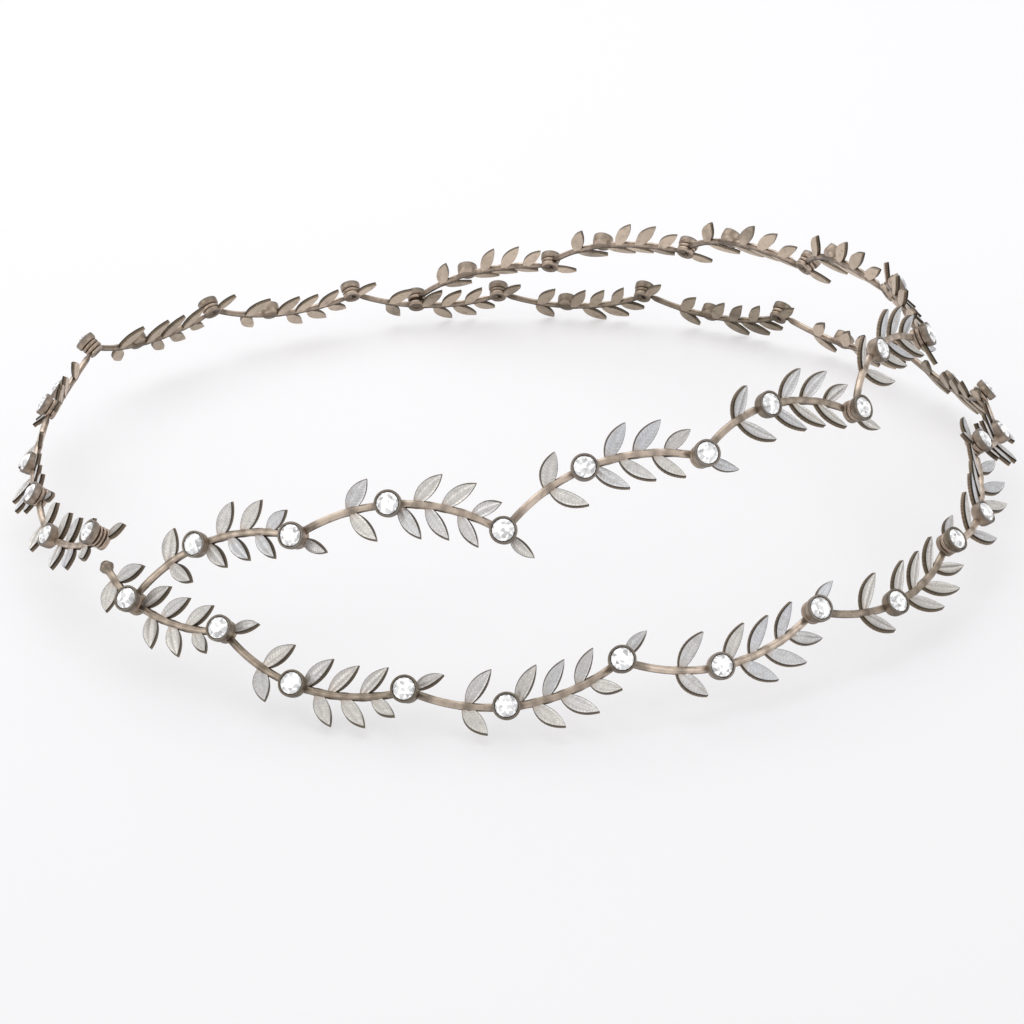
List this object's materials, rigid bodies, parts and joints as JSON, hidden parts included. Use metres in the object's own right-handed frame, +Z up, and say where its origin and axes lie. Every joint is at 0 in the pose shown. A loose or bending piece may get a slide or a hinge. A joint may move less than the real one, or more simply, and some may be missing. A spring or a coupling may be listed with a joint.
{
  "type": "wreath headpiece",
  "caption": "Open leaf wreath for the head: like cast sprigs riveted end to end in a ring, with a raised second strand and round clear stones in cups at the rivets.",
  "frame": {"origin": "middle of the outer sizes in plan, at the level of the lowest leaf tips that the wreath rests on", "axes": "+Z up; -Y is the front, towards the picture's camera; +X to the right, where the strands meet"},
  "size_m": [0.1944, 0.194, 0.0441],
  "materials": {
    "antique_metal": "satin antique silver over brass: pale grey leaf faces with fine veins, darker brown edges and backs",
    "cut_stone": "clear foil-backed crystal, cut with a table and facets"
  },
  "bodies": {
    "root": {"front_sprig_1": "antique_metal", "front_sprig_2": "antique_metal", "front_sprig_3": "antique_metal", "front_sprig_4": "antique_metal", "front_sprig_5": "antique_metal", "front_sprig_6": "antique_metal", "left_sprig_1": "antique_metal", "left_sprig_2": "antique_metal", "left_sprig_3": "antique_metal", "back_sprig_1": "antique_metal", "back_sprig_2": "antique_metal", "back_sprig_3": "antique_metal", "back_sprig_4": "antique_metal", "back_sprig_5": "antique_metal", "back_sprig_6": "antique_metal", "back_sprig_7": "antique_metal", "back_sprig_8": "antique_metal", "upper_front_sprig_1": "antique_metal", "upper_front_sprig_2": "antique_metal", "upper_front_sprig_3": "antique_metal", "upper_front_sprig_4": "antique_metal", "upper_front_sprig_5": "antique_metal", "upper_back_sprig_1": "antique_metal", "upper_back_sprig_2": "antique_metal", "upper_back_sprig_3": "antique_metal", "upper_back_sprig_4": "antique_metal", "upper_back_sprig_5": "antique_metal", "corner_rivet": "antique_metal", "front_sprig_1_stones": "cut_stone", "front_sprig_2_stones": "cut_stone", "front_sprig_3_stones": "cut_stone", "front_sprig_4_stones": "cut_stone", "front_sprig_5_stones": "cut_stone", "front_sprig_6_stones": "cut_stone", "left_sprig_1_stones": "cut_stone", "left_sprig_2_stones": "cut_stone", "left_sprig_3_stones": "cut_stone", "back_sprig_1_stones": "cut_stone", "back_sprig_2_stones": "cut_stone", "back_sprig_3_stones": "cut_stone", "back_sprig_4_stones": "cut_stone", "back_sprig_5_stones": "cut_stone", "back_sprig_6_stones": "cut_stone", "back_sprig_7_stones": "cut_stone", "back_sprig_8_stones": "cut_stone", "upper_front_sprig_1_stones": "cut_stone", "upper_front_sprig_2_stones": "cut_stone", "upper_front_sprig_3_stones": "cut_stone", "upper_front_sprig_4_stones": "cut_stone", "upper_front_sprig_5_stones": "cut_stone", "upper_back_sprig_1_stones": "cut_stone", "upper_back_sprig_2_stones": "cut_stone", "upper_back_sprig_3_stones": "cut_stone", "upper_back_sprig_4_stones": "cut_stone", "upper_back_sprig_5_stones": "cut_stone", "corner_stone": "cut_stone"}
  },
  "joints": []
}
